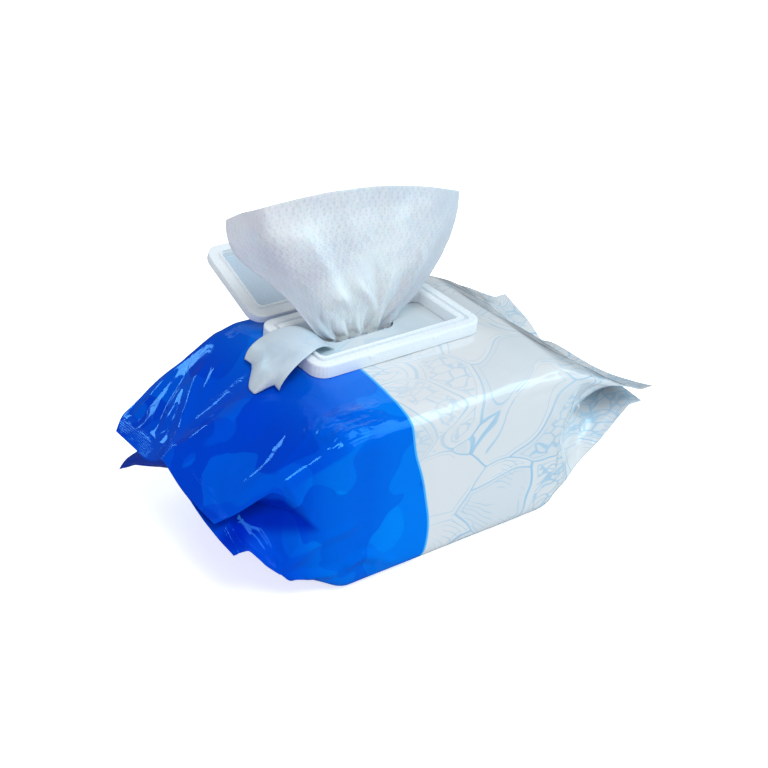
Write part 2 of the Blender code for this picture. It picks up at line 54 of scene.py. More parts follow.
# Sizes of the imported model, named as in part.py
STACK_LENGTH, STACK_WIDTH, STACK_HEIGHT = 139 * MM, 116.4 * MM, 84.3 * MM
STACK_CROWN = 5 * MM
FILM, PACK_CLEARANCE = 1 * MM, 0.35 * MM
TOP_CROWN = 8.1 * MM
END_FALL, BACK_FALL, CROWN_POWER = 0.35, 0.1, 1.6
FRAME_X, FRAME_Y = -4.9 * MM, 10.6 * MM
FRAME_LENGTH, FRAME_WIDTH, FRAME_HEIGHT = 107.5 * MM, 54.3 * MM, 7.05 * MM
FRAME_BORDER = 9.8 * MM
GLUE_GAP = 0.3 * MM
EDGE_ROUND, EDGE_POWER = 2.2 * MM, 30
SLOPE_WAVE = 1.6 * MM
HEEL_RUN, HEEL_LIFT = 6.85 * MM, 2 * MM
SIDE_BULGE = 1.2 * MM
FOLD_GAP = 0.3 * MM
FIN_THICKNESS, FIN_WIDTH = 1.2 * MM, 9 * MM
GUSSET_INNER = 24 * MM
OPENING_LENGTH, OPENING_WIDTH = 46 * MM, 16 * MM
OPENING_X, OPENING_Y = -9 * MM, 19 * MM
OPENING_TEETH, TOOTH_DEPTH = 11, 0.7 * MM
LID_LEAN = radians(20)  # of the open lid, backwards
LEFT_END = {
    "side": -1, "reach": 65 * MM, "tip_half": 46 * MM, "tip_height": 56 * MM, "mid_height": 56 * MM,
    "pleat": 9 * MM, "pleat_at": 1 * MM, "pleat_width": (16 * MM, 9 * MM),
    "fin_droop": 5.5 * MM, "fin_taper": 10 * MM,
    "low_half_front": 56 * MM, "low_half_back": 51 * MM, "low_front": 42 * MM, "low_back": 28 * MM,
    "low_curl": 5 * MM, "tuck_from": 18 * MM, "tuck_full": 38 * MM,
}
RIGHT_END = {
    "side": 1, "reach": 70.4 * MM, "tip_half": 62 * MM, "tip_height": 59.5 * MM, "mid_height": 48.5 * MM,
    "pleat": -5.5 * MM, "pleat_at": 27 * MM, "pleat_width": (9 * MM, 9 * MM),
    "fin_droop": 0.5 * MM, "fin_taper": 0,
    "low_half_front": 57.5 * MM, "low_half_back": 57.5 * MM, "low_front": 49 * MM, "low_back": 47 * MM,
    "low_curl": 1.5 * MM, "tuck_from": 2 * MM, "tuck_full": 14 * MM,
}

# Heights and half widths that follow from them
BLOCK_HALF = STACK_LENGTH / 2 + PACK_CLEARANCE + FILM
SIDE_HALF = STACK_WIDTH / 2 + PACK_CLEARANCE + FILM
EDGE_HEIGHT = STACK_HEIGHT + 2 * (PACK_CLEARANCE + FILM)
FILM_TOP = EDGE_HEIGHT + TOP_CROWN
FRAME_TOP = FILM_TOP + GLUE_GAP + FRAME_HEIGHT
STACK_TOP = FILM + PACK_CLEARANCE + STACK_HEIGHT + STACK_CROWN
CUT_FLOOR = STACK_TOP + 0.9 * MM  # where the cut for the opening stops

# How finely the film is divided and how often it is smoothed, round each section and along the pack
RIM_STEPS, PULL_STEPS = 12, 21
TOP_STEPS, LOW_STEPS = 84, 44
BLOCK_RINGS, SLOPE_RINGS, FIN_RINGS = 84, 66, 12
ROUND_PASSES, LENGTH_PASSES = 6, 2
ARC_STEPS = 16  # of each rounded end of the opening
SHARP_ANGLE = radians(50)

# Relief of the film's wrinkles, and how far its front sags
DENTS, PULLS, FACETS, CREASES = 0.9 * MM, 0.3 * MM, 1.0 * MM, 0.5 * MM
SAG_OUT, SAG_DOWN = 5 * MM, 5.5 * MM

# Folds drawn in the film, in millimetres: line, half width, height, side they are seen from
UP, FRONT, SLANT = (0, 0, 1), (0, -1, 0), (0, -0.7, 0.7)
FOLDS = (
    (((-136, -2, 64), (-124, 10, 67), (-112, 21, 71), (-98, 33, 78), (-86, 42, 85)), 6, 2.2, UP),
    (((-125, 28, 62), (-112, 38, 69), (-96, 46, 78)), 4, -1.4, UP),
    (((-128, 47, 58), (-114, 50, 66), (-98, 54, 75)), 3.5, 1.2, UP),
    (((-103, 22, 76), (-92, 29, 82), (-82, 35, 87)), 4, 1.2, UP),
    (((-76, -34, 90), (-84, -43, 85), (-98, -45, 76), (-120, -42, 64)), 3, 0.9, UP),
    (((-80, -20, 91), (-88, -30, 86), (-104, -36, 75), (-124, -36, 62)), 4, -0.7, UP),
    (((-79, -46, 85), (-74, -42, 87), (-69, -44, 88)), 1.8, 1.2, UP),
    (((-77, -48, 86), (-73, -52, 86), (-68, -50, 87)), 1.6, 1.0, UP),
    (((-71, -54, 86), (-66, -49, 87), (-60, -51, 87)), 1.6, 1.1, UP),
    (((-66, -45, 88), (-61, -49, 88), (-53, -47, 88)), 1.6, 1.0, UP),
    (((-57, -54, 87), (-50, -50, 88), (-41, -52, 87)), 1.6, 0.8, UP),
    (((-101, -58, 30), (-83, -60, 37), (-61, -61, 39)), 5, 1.4, FRONT),
    (((-102, -58, 24), (-88, -59, 19), (-73, -60, 16)), 4.5, 2.6, FRONT),
    (((-71, -60, 17), (-60, -60, 20), (-49, -60, 16)), 4.5, 2.6, FRONT),
    (((-52, -60, 17), (-50, -60, 10), (-50, -60, 4)), 3, 1.6, FRONT),
    (((-52, -60, 17), (-45, -60, 12), (-38, -60, 8)), 3, 1.6, FRONT),
    (((-126, -45, 57), (-111, -47, 43), (-104, -56, 33), (-102, -58, 27)), 2.5, 0.9, SLANT),
    (((-104, -57, 34), (-103, -58, 30), (-103, -58, 25)), 1.5, -0.9, FRONT),
    (((-101, -51, 72), (-95, -55, 60), (-88, -58, 46)), 3, 0.8, FRONT),
    (((64, -60, 68), (69, -60, 58), (71, -61, 45), (69, -60, 18)), 4.5, 1.3, FRONT),
    (((77, -60, 67), (74, -60, 57), (71, -61, 50)), 3, 0.9, FRONT),
    (((140, -47, 48), (109, -54, 35), (73, -60, 23)), 2.5, 0.9, SLANT),
)


def clamp(value, low=0.0, high=1.0):
    return max(low, min(high, value))


def smooth(value):
    t = clamp(value)
    return t * t * (3 - 2 * t)


def mix(a, b, t):
    return a + (b - a) * t


def link(item):
    bpy.context.scene.collection.objects.link(item)
    return item


def bezier(points, t):
    """The point at t on the Bezier curve of any number of control points, given in millimetres."""
    level = [Vector(p) * MM for p in points]
    while len(level) > 1:
        level = [a.lerp(b, t) for a, b in zip(level, level[1:])]
    return level[0]


# Shape of the film, as in part.py

def end_of(x):
    """The sizes of the end on x's side."""
    return RIGHT_END if x > 0 else LEFT_END


def along(x):
    """How far x lies along its sloping end: 0 at the block, 1 at the fin."""
    return clamp((abs(x) - BLOCK_HALF) / (end_of(x)["reach"] - FIN_WIDTH))


def fin_share(x):
    """How far x lies across the fin: 0 at its inner edge, 1 at its outer edge."""
    return clamp((abs(x) - BLOCK_HALF - end_of(x)["reach"] + FIN_WIDTH) / FIN_WIDTH)


def top_half(x, y):
    """Half width of the top panel at x, on y's side."""
    end = end_of(x)
    taper = end["fin_taper"] if y > 0 else 0
    return mix(SIDE_HALF, end["tip_half"] + taper * (1 - fin_share(x)), along(x))


def low_edge(end, y):
    """Half width of the lower panel at the seal, on y's side."""
    return end["low_half_back"] if y > 0 else end["low_half_front"]


def low_half(x, y):
    """Half width of the lower panel at x, on y's side."""
    return mix(SIDE_HALF, low_edge(end_of(x), y), along(x))


def looseness(end, y):
    """How free the lower ply is at y: 0 at the gusset's inner fold, 1 at the panel's tip."""
    return clamp((abs(y) - GUSSET_INNER) / (low_edge(end, y) - GUSSET_INNER))


def tuck(x):
    """How far the side panel is drawn in at x: 0 where the tuck starts, 1 at the fin."""
    end = end_of(x)
    start = BLOCK_HALF + end["tuck_from"]
    return clamp((abs(x) - start) / (BLOCK_HALF + end["reach"] - FIN_WIDTH - start))


def tuck_share(x):
    """The share of a side ply's height that is drawn in at x."""
    end = end_of(x)
    if tuck(x) == 0:
        return 0.5
    start = BLOCK_HALF + end["tuck_from"]
    return clamp((abs(x) - start) / (end["tuck_full"] - end["tuck_from"]), 0.3, 0.92)


def seal_height(end, y, x):
    """Height of the top panel along the seal, with its pleat and its droop."""
    share = (y / end["tip_half"]) ** 2
    height = mix(end["mid_height"], end["tip_height"], share)
    off_pleat = y - end["pleat_at"]
    height += end["pleat"] * exp(-abs(off_pleat / end["pleat_width"][off_pleat > 0]) ** 1.5)
    return height + end["fin_droop"] * (1 - fin_share(x)) * (1 - 0.8 * share)


def crown(x, y):
    """How far the top panel stands above its long edges, flat below the lid's frame."""
    off_x = abs(x - FRAME_X) - FRAME_LENGTH / 2
    off_y = abs(y - FRAME_Y) - FRAME_WIDTH / 2
    room_x = BLOCK_HALF - FRAME_LENGTH / 2 + (FRAME_X if x < FRAME_X else -FRAME_X)
    room_y = SIDE_HALF - FRAME_WIDTH / 2 + (FRAME_Y if y < FRAME_Y else -FRAME_Y)
    fall = 1 if y < FRAME_Y else BACK_FALL
    across = 1 - fall * clamp(off_y / room_y) ** CROWN_POWER
    return TOP_CROWN * (1 - END_FALL * smooth(off_x / room_x)) * across


def top_height(x, y):
    """Height of the top panel."""
    end = end_of(x)
    s = along(x)
    share = clamp(y / top_half(x, y), -1, 1)
    block = EDGE_HEIGHT + crown(clamp(x, -BLOCK_HALF, BLOCK_HALF), share * SIDE_HALF)
    wave = SLOPE_WAVE * sin(pi * s) * cos(9 * share + 2 * s) * (1 - share * share)
    fall = EDGE_ROUND * abs(share) ** EDGE_POWER * (1 - s)
    return mix(block, seal_height(end, share * end["tip_half"], x), s**1.1) + wave - fall


def low_seal_height(end, share, x):
    """Height of the lower panel along the seal, with its hanging tips."""
    y = share * low_edge(end, share)
    edge = end["tip_half"] if y > 0 else -end["tip_half"]
    inner = clamp(y, -end["tip_half"], end["tip_half"])
    tip = end["low_front"] if y < 0 else end["low_back"]
    hang = seal_height(end, edge, x) - FIN_THICKNESS - tip
    return seal_height(end, inner, x) - FIN_THICKNESS - hang * looseness(end, y) ** 1.2


def low_height(x, y):
    """Height of the lower panel."""
    s = along(x)
    share = clamp(y / low_half(x, y), -1, 1)
    heel = HEEL_LIFT * clamp((abs(x) - BLOCK_HALF + HEEL_RUN) / HEEL_RUN) ** 2
    flat = EDGE_ROUND * abs(share) ** EDGE_POWER + heel
    return mix(flat, low_seal_height(end_of(x), share, x), s**1.05)


def side_ply(x, sign, upper):
    """One side's ply: from its panel's corner down the rim, then in to the gusset's inner fold."""
    weld = seal_height(end_of(x), sign * GUSSET_INNER, x) - FIN_THICKNESS / 2
    middle = mix(EDGE_HEIGHT / 2, weld, along(x))
    inner = mix((top_half(x, sign) + low_half(x, sign)) / 2, GUSSET_INNER, tuck(x))
    half, height, up = low_half(x, sign), low_height, -1
    if upper:
        half, height, up = top_half(x, sign), top_height, 1
    depth = abs(height(x, sign * inner) - middle) - FOLD_GAP / 2
    rim = max((FIN_THICKNESS - FOLD_GAP) / 2, depth * (1 - tuck_share(x)))
    ply = []
    for step in range(RIM_STEPS + PULL_STEPS + 1):
        pull = clamp((step - RIM_STEPS) / PULL_STEPS)
        level = rim * step / RIM_STEPS if step < RIM_STEPS else mix(rim, depth, pull)
        y = mix(half, inner, pull)
        bulge = SIDE_BULGE * sin(pi / 2 * level / depth) * (1 - tuck(x)) * (1 - along(x))
        ply.append(Vector((x, sign * (y + bulge), height(x, sign * y) - up * level)))
    return ply


def pouch_ring(x):
    """The film's section at x, one closed loop of points."""
    front_up, front_low = side_ply(x, -1, True), side_ply(x, -1, False)
    back_up, back_low = side_ply(x, 1, True), side_ply(x, 1, False)
    panels = []
    for count, height, front, back in (
        (TOP_STEPS, top_height, front_up, back_up),
        (LOW_STEPS, low_height, front_low, back_low),
    ):
        across = [mix(front[0].y, back[0].y, i / count) for i in range(1, count)]
        panels.append([Vector((x, y, height(x, y))) for y in across])
    top, low = panels
    end = end_of(x)
    for point in front_low + low + back_low:
        point.x -= end["side"] * end["low_curl"] * looseness(end, point.y) ** 2 * along(x) ** 3
    return top + back_up + back_low[::-1] + low[::-1] + front_low + front_up[::-1]


# Film wrapper, finer than its solid and wrinkled

def wrinkle(point):
    """How far the film stands out of its smooth shape: dents, pulls towards the seals, facets, creases."""
    x, y, z = point
    s = along(x)
    end_pull = smooth(s * 2.2)
    beside = max(abs(x - FRAME_X) - FRAME_LENGTH / 2, abs(y - FRAME_Y) - FRAME_WIDTH / 2)
    top = smooth((z - 80 * MM) / (6 * MM)) * (1 - end_pull)
    big = noise.noise(Vector((x * 26, y * 30, z * 30)))
    far_pull = end_pull * smooth(s * 1.6)
    fan = y / mix(1, 0.8, s)
    pull = 1 - abs(noise.noise(Vector((x * 14, fan * 80, z * 22 + 3)))) * 2
    near = noise.voronoi(Vector((x * 36, y * 50, z * 45)))[0]
    facet = min(near[1] - near[0], 0.6)
    edge = exp(-(((z - 84 * MM) / (12 * MM)) ** 2)) * smooth((-y - 30 * MM) / (20 * MM)) * (1 - s)
    crease = 1 - abs(noise.noise(Vector((x * 30, y * 90, z * 110 + 11)))) * 2.6
    out = DENTS * big * (0.35 + 0.9 * far_pull)
    out += PULLS * (pull - 0.6) * end_pull * (1 - 0.6 * smooth(fin_share(x) * 3))
    out -= FACETS * facet * (0.16 + 0.84 * far_pull)
    out += CREASES * max(crease, 0) * edge
    calm = mix(0.12, 1, smooth(beside / (5 * MM) + 1)) if top > 0.3 else 1
    return out * calm * mix(0.06, 1, smooth(z / (9 * MM))) * (1 - 0.75 * smooth(fin_share(x) * 4))


def settle(point):
    """How the film's front sags: outwards above the table, and down below the left end's gusset."""
    x, y, z = point
    front = smooth((-y - 30 * MM) / (28 * MM))
    out = SAG_OUT * exp(-((z / (34 * MM)) ** 2)) * front * (1 - smooth(along(x) * 2.2))
    near_gusset = exp(-(((x + 101 * MM) / (20 * MM)) ** 2))
    drop = SAG_DOWN * near_gusset * front * smooth((52 * MM - z) / (20 * MM))
    return Vector((0, -out, -drop))


def fold_lift(points, normals):
    """How far the drawn folds lift each point: a ridge or a valley along each line, fading at its ends."""
    lift = np.zeros(len(points))
    for line, width, height, facing in FOLDS:
        line = np.array(line, dtype=float) * MM
        runs = np.diff(line, axis=0)
        lengths = np.linalg.norm(runs, axis=1)
        nearest = np.full(len(points), 1.0)
        share = np.zeros(len(points))
        done = 0
        for start, run, length in zip(line, runs / lengths[:, None], lengths):
            t = np.clip((points - start) @ run, 0, length)
            away = np.linalg.norm(points - start - t[:, None] * run, axis=1)
            closer = away < nearest
            nearest[closer] = away[closer]
            share[closer] = (done + t[closer]) / lengths.sum()
            done += length
        ridge = np.clip(1 - nearest / (width * MM), 0, 1) ** 1.25
        fade = np.clip(6 * share * (1 - share) + 0.15, 0, 1)
        seen = np.clip((normals @ np.array(facing) - 0.1) * 4, 0, 1)
        lift += height * MM * ridge * fade * seen
    return lift


def film_rings():
    """The film's sections from end to end, smoothed where they are sharp."""
    places = [mix(-BLOCK_HALF, BLOCK_HALF, i / BLOCK_RINGS) for i in range(1, BLOCK_RINGS)]
    for end in (LEFT_END, RIGHT_END):
        run = end["reach"] - FIN_WIDTH
        places += [end["side"] * (BLOCK_HALF + run * i / SLOPE_RINGS) for i in range(SLOPE_RINGS)]
        across = [FIN_WIDTH * i / FIN_RINGS for i in range(FIN_RINGS + 1)]
        places += [end["side"] * (BLOCK_HALF + run + step) for step in across]
    places.sort()
    rings = [pouch_ring(x) for x in places]
    count = len(rings[0])
    for _ in range(ROUND_PASSES):
        for ring, x in zip(rings, places):
            hold = 0.7 * (1 - smooth(along(x) * 1.6))
            ease = [ring[i - 1].lerp(ring[(i + 1) % count], 0.5) for i in range(count)]
            ring[:] = [p.lerp(q, hold) for p, q in zip(ring, ease)]
    for _ in range(LENGTH_PASSES):
        inner = list(zip(rings, rings[1:], rings[2:]))
        eased = [[b.lerp(a.lerp(c, 0.5), 0.5) for a, b, c in zip(*three)] for three in inner]
        rings[1:-1] = eased
    return rings


def film_pouch():
    """The whole wrapper: sections joined, wrinkled and settled, with the opening cut through its top."""
    rings = film_rings()
    count = len(rings[0])
    build = bmesh.new()
    loops = [[build.verts.new(p) for p in ring] for ring in rings]
    for a, b in zip(loops, loops[1:]):
        for i in range(count):
            j = (i + 1) % count
            build.faces.new((a[i], a[j], b[j], b[i]))
    for loop in (loops[0], loops[-1]):
        for triangle in tessellate_polygon([[Vector(v.co.yz) for v in loop]]):
            build.faces.new([loop[i] for i in triangle])
    bmesh.ops.recalc_face_normals(build, faces=build.faces)
    build.normal_update()
    points = np.array([v.co[:] for v in build.verts])
    normals = np.array([v.normal[:] for v in build.verts])
    lift = fold_lift(points, normals) + np.array([wrinkle(v.co) for v in build.verts])
    for v, move in zip(build.verts, lift):
        v.co += v.normal * move
    for v in build.verts:
        v.co += settle(v.co)
        v.co.z = max(v.co.z, 0)
    mesh = bpy.data.meshes.new("pouch_film")
    build.to_mesh(mesh)
    build.free()
    pouch = link(bpy.data.objects.new("pouch_film", mesh))
    cutter = opening_cutter()
    hole = pouch.modifiers.new("opening", "BOOLEAN")
    hole.operation = "DIFFERENCE"
    hole.solver = "EXACT"
    hole.object = cutter
    graph = bpy.context.evaluated_depsgraph_get()
    done = bpy.data.meshes.new_from_object(pouch.evaluated_get(graph))
    pouch.modifiers.clear()
    pouch.data = done
    bpy.data.objects.remove(cutter)
    open_up = bmesh.new()
    open_up.from_mesh(done)
    floor = [f for f in open_up.faces if is_pocket_floor(f)]
    bmesh.ops.delete(open_up, geom=floor, context="FACES")
    open_up.to_mesh(done)
    open_up.free()
    done.shade_smooth()
    done.set_sharp_from_angle(angle=SHARP_ANGLE)
    return pouch


def is_pocket_floor(face):
    """Whether a face closes the opening below, where the cut stopped inside the wrapper."""
    x, y, z = face.calc_center_median()
    inside = abs(x - OPENING_X) < OPENING_LENGTH / 2 and abs(y - OPENING_Y) < OPENING_WIDTH / 2
    return inside and z < CUT_FLOOR + 0.3 * MM and face.normal.z > 0.9


def opening_cutter():
    """The die-cut opening: long and round-ended, with a fine toothed front edge."""
    radius = OPENING_WIDTH / 2
    run = OPENING_LENGTH - OPENING_WIDTH
    outline = []
    for side in (1, -1):
        for step in range(ARC_STEPS + 1):
            angle = pi * step / ARC_STEPS - pi / 2
            x = OPENING_X + side * (run / 2 + radius * cos(angle))
            outline.append((x, OPENING_Y + side * radius * sin(angle)))
    halves = 2 * OPENING_TEETH
    for half in range(1, halves):
        bite = TOOTH_DEPTH if half % 2 else 0
        outline.append((OPENING_X - run / 2 + run * half / halves, OPENING_Y - radius + bite))
    build = bmesh.new()
    low, high = [[build.verts.new((x, y, z)) for x, y in outline] for z in (CUT_FLOOR, FRAME_TOP)]
    for i in range(len(outline)):
        j = (i + 1) % len(outline)
        build.faces.new((low[i], low[j], high[j], high[i]))
    build.faces.new(low)
    build.faces.new(high)
    bmesh.ops.recalc_face_normals(build, faces=build.faces)
    mesh = bpy.data.meshes.new("cutter")
    build.to_mesh(mesh)
    build.free()
    return link(bpy.data.objects.new("cutter", mesh))


# Wipe and label: their edges are Bezier curves, close to part.py's, in millimetres from their feet

SHEET_WIDTH, SHEET_OUT = 140 * MM, 92 * MM
WIPE_THICKNESS, LABEL_THICKNESS = 0.35 * MM, 0.25 * MM
WIPE_ROWS, WIPE_COLUMNS = 110, 170
LABEL_ROWS, LABEL_COLUMNS = 90, 60
WIPE_SEAT_GAP = 0.3 * MM
WIPE_FOOT = Vector((OPENING_X, 16.2 * MM, FILM_TOP))
WIPE_LEFT = ((-21, 0, 0), (-42, -1, 12.5), (-40, 5, 44.5), (-86, 3, 46), (-79.2, 9.6, 75.5))
WIPE_RIGHT = ((22.5, 0, 0), (39, -6.5, 23), (53, -10, 45), (46, -13.4, 76))
WIPE_HUMP = Vector((-10, -17, 17.5)) * MM
WIPE_GATHER = 1.8 * MM
LABEL_FRONT = (
    (0, 5, 1.2), (-10, 4, 7.5), (-18, -3.5, 11), (-27.5, -10.5, 13), (-46, -16.5, 12), (-45, -11, -2.2),
)
LABEL_BACK = (
    (-0.5, 17, 1.2), (-6, 25, 9), (-18, 23.5, 12), (-27.5, 20, 12), (-39, 26.5, 7), (-43, 22.5, -2.2),
)
LABEL_FOOT = Vector((-33 * MM, 0, FILM_TOP))
LABEL_TAB = Vector((-9, 0, -5.5)) * MM
LABEL_ARCH = 1.4 * MM

# Soft folds of the wipe: (across, up) along each, half widths to its left and right, depth in millimetres
WIPE_FOLDS = (
    (
        ((0.25, 0.93), (0.265, 0.87), (0.283, 0.72), (0.292, 0.54), (0.30, 0.40), (0.375, 0.2)),
        0.11, 0.05, 2.8,
    ),
    (((0.06, 1.0), (0.10, 0.85), (0.075, 0.7), (0.03, 0.55)), 0.07, 0.05, -1.6),
    (((0.17, 0.30), (0.125, 0.19), (0.10, 0.1)), 0.03, 0.02, -1.6),
    (((0.425, 0.50), (0.485, 0.36), (0.62, 0.2), (0.66, 0.06)), 0.05, 0.03, 1.2),
    (((0.70, 0.52), (0.67, 0.27), (0.69, 0.14), (0.72, 0.0)), 0.03, 0.025, 1.5),
    (((0.78, 0.50), (0.80, 0.27), (0.78, 0.10), (0.76, 0.0)), 0.025, 0.03, -1.4),
    (((0.83, 0.66), (0.875, 0.50), (0.86, 0.2), (0.84, 0.05)), 0.035, 0.03, 1.3),
    (((0.95, 0.80), (0.94, 0.67), (0.93, 0.4), (0.91, 0.1)), 0.03, 0.03, -1.0),
    (((0.56, 0.62), (0.58, 0.42), (0.64, 0.22), (0.67, 0.1)), 0.04, 0.03, -1.0),
    (((0.40, 0.95), (0.43, 0.75), (0.45, 0.55)), 0.07, 0.06, -0.7),
    (((0.66, 0.98), (0.67, 0.8), (0.66, 0.62)), 0.06, 0.07, 0.7),
)


def wipe_point(u, v):
    """A point of the pulled wipe: u across from its left edge, v up from the film's opening."""
    rise = max(v, 0)
    hump = 4 * u * (1 - u) * rise**1.4
    point = bezier(WIPE_LEFT, rise).lerp(bezier(WIPE_RIGHT, rise), u)
    point = WIPE_FOOT + point + WIPE_HUMP * hump
    point.z -= (FILM_TOP - STACK_TOP - WIPE_SEAT_GAP) * max(-v, 0)
    gather = WIPE_GATHER * (1 - 0.95 * smooth(5 * rise))
    point.y += gather * cos(10 * pi * u + sin(5 * u)) * smooth(12 * min(u, 1 - u) + 0.5)
    return point


def fold_place(line, v):
    """Where across the wipe a fold lies at height v, and how strong it is there."""
    tops = sorted(line, key=lambda p: p[1])
    heights = [p[1] for p in tops]
    u = float(np.interp(v, heights, [p[0] for p in tops]))
    reach = min(v - heights[0], heights[-1] - v)
    if heights[-1] >= 0.95 and v > (heights[0] + heights[-1]) / 2:
        reach = 1  # it runs out over the free edge
    at_foot = 0.5 if heights[0] < 0.06 and v < 0.2 else 0
    return u, smooth(reach / 0.14 + at_foot)


def wipe_fold(u, v):
    """Folds and soft creases finer than the solid's."""
    rise = max(v, 0)
    out = 0.0
    for line, left, right, depth in WIPE_FOLDS:
        place, strength = fold_place(line, rise)
        off = u - place
        width = left if off < 0 else right
        out -= depth * MM * strength * exp(-((off / width) ** 2))
    low = 1 - smooth(rise * 4)
    out += 0.45 * MM * low * sin(2 * pi * (13 * u + 0.9 * noise.noise(Vector((u * 4, rise * 3, 1)))))
    out += 0.9 * MM * noise.noise(Vector((u * 4, rise * 2.4, 5))) * smooth(rise * 2)
    out += 0.25 * MM * noise.noise(Vector((u * 24, rise * 14, 9)))
    return out


def shares(count):
    return [i / count for i in range(count + 1)]


def grid(name, point_at, rows, columns, thickness):
    """A thin sheet of the points at rows and columns, unrolled into its own flat coordinates."""
    build = bmesh.new()
    flat = build.loops.layers.uv.new("flat")
    verts = [[build.verts.new(point_at(row, column)) for column in columns] for row in rows]
    for i in range(len(rows) - 1):
        for j in range(len(columns) - 1):
            corners = ((i, j), (i, j + 1), (i + 1, j + 1), (i + 1, j))
            face = build.faces.new([verts[a][b] for a, b in corners])
            for loop, (a, b) in zip(face.loops, corners):
                loop[flat].uv = (columns[b], rows[a])
    mesh = bpy.data.meshes.new(name)
    build.to_mesh(mesh)
    build.free()
    mesh.shade_smooth()
    item = link(bpy.data.objects.new(name, mesh))
    solid = item.modifiers.new("thickness", "SOLIDIFY")
    solid.thickness = thickness
    solid.offset = 0
    return item


def pulled_wipe():
    """The wipe with its folds, from just above the block up to its free edge."""

    def point_at(v, u):
        point = wipe_point(u, v)
        point.y += wipe_fold(u, v) * (1 if v > 0 else 0.3)
        return point

    rows = [-1, -0.6, -0.2] + shares(WIPE_ROWS)
    return grid("wipe_cloth", point_at, rows, shares(WIPE_COLUMNS), WIPE_THICKNESS)


def label_point(out, across):
    """A point of the peeled label: out towards its free end, across from front to back."""
    point = LABEL_FOOT + bezier(LABEL_FRONT, out).lerp(bezier(LABEL_BACK, out), across)
    tab = smooth((across - 0.12) / 0.16) * (1 - smooth((across - 0.38) / 0.45))
    point += LABEL_TAB * tab * out**4
    point.z += LABEL_ARCH * 4 * across * (1 - across) * smooth(3 * out)
    point.z += 0.25 * MM * noise.noise(Vector((out * 5, across * 4, 2))) * smooth(3 * out)
    return point


def peel_label():
    """The label, from its foot in the frame's window to its free end."""
    return grid("label_film", label_point, shares(LABEL_ROWS), shares(LABEL_COLUMNS), LABEL_THICKNESS)


# Materials

# Linear colours; each blue of the print is given far from the white half and near it; the near one also
# serves as painted light on the left end's front wall
BLUE = ((0.0, 0.066, 0.62), (0.0, 0.180, 0.78))
DARKER_BLUE = ((0.0, 0.048, 0.56), (0.0, 0.140, 0.72))
PALER_BLUE = ((0.0, 0.086, 0.66), (0.0, 0.215, 0.82))
# Painted shade: the dark navy of the left end's gusset hollow
HOLLOW_PAINTED_SHADE = (0.0, 0.012, 0.40)
FRINGE_BLUE = (0.10, 0.55, 0.88)
WHITE_PRINT, TINTED_PRINT, LINE_BLUE = (0.71, 0.705, 0.715), (0.57, 0.63, 0.68), (0.31, 0.52, 0.69)
# The window's colour is painted shade over the film inside the frame's window, strongest at its left
WINDOW_PAINTED_SHADE = (0.56, 0.71, 0.78)
GLOSS_ON_BLUE, GLOSS_ON_WHITE = (0.10, 0.55, 1.0), (0.95, 0.98, 1.0)
# The lid's panel colour is painted shade for its inner panel
FRAME_WHITE, LID_WHITE, LID_PANEL_SHADE = (0.87, 0.91, 0.95), (0.86, 0.89, 0.92), (0.50, 0.59, 0.68)
# The wipe's grey serves both its greyer patches and the painted shade towards its sides and top
WIPE_WHITE, WIPE_SHADE = (0.84, 0.84, 0.855), (0.52, 0.575, 0.64)
STACK_WHITE, STACK_SHADE = (0.82, 0.87, 0.93), (0.66, 0.73, 0.81)
LABEL_PALE, LABEL_DULL = (0.60, 0.67, 0.74), (0.51, 0.60, 0.69)

# Border between the two printed halves: (height, reach) as shares of EDGE_RISE and EDGE_SPAN
PRINT_EDGE = ((0, 0.37), (0.17, 0.66), (0.42, 0.54), (0.78, 0.12), (1, 0.03))
EDGE_RISE, EDGE_SPAN, EDGE_START = 100 * MM, 25 * MM, -33 * MM

WINDOW_MARGIN = 1 * MM  # of the window's white print and painted shade, beyond the frame's inner edge
STROKE_PITCH = 6 * MM
CRIMP_PITCH = 1.1 * MM
DOT_PITCH = 1.9 * MM  # of the wipes' embossing
LID_FLOOR, LID_EDGE = 79.3 * MM, 80.2 * MM  # levels of the open lid, square to it, between which its panel's painted shade fades out
